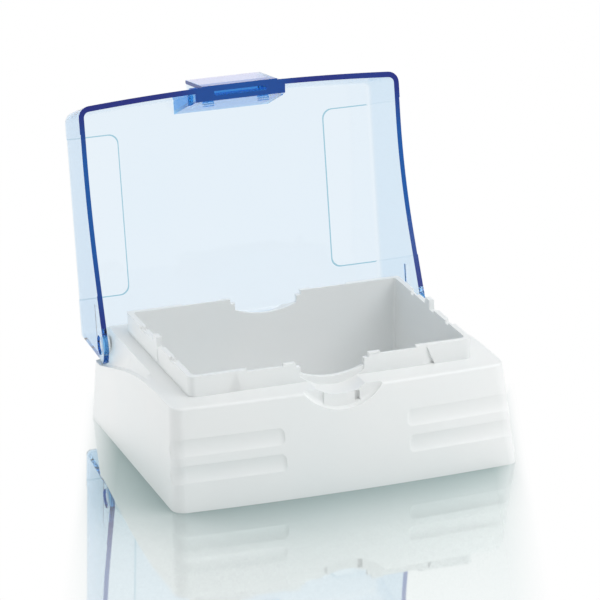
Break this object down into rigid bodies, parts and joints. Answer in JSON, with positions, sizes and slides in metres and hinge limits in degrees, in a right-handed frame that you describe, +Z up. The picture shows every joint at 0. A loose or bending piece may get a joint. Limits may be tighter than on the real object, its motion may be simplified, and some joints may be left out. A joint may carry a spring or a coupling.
{
  "type": "pipette tip box",
  "caption": "Empty reusable pipette tip box: white moulded base with a raised tray seat round a deep well, and a hinged clear blue lid with a thumb latch, standing open.",
  "frame": {"origin": "centre of the underside of the well floor, on the table, on the box's left-right middle plane", "axes": "+Z up, +X to the box's right as seen from the latch side, +Y from the latch side to the hinge side"},
  "size_m": [0.144, 0.1578, 0.1321],
  "materials": {
    "white_polypropylene": "satin",
    "clear_blue_plastic": "polished, transparent"
  },
  "bodies": {
    "base": {"base": "white_polypropylene"},
    "lid": {"lid": "clear_blue_plastic"}
  },
  "joints": [
    {"name": "lid_hinge", "type": "hinge", "parent": "base", "child": "lid", "pos_m": [0, 0.0491, 0.0338], "axis": [1, 0, 0], "range_deg": [0, 98]}
  ]
}
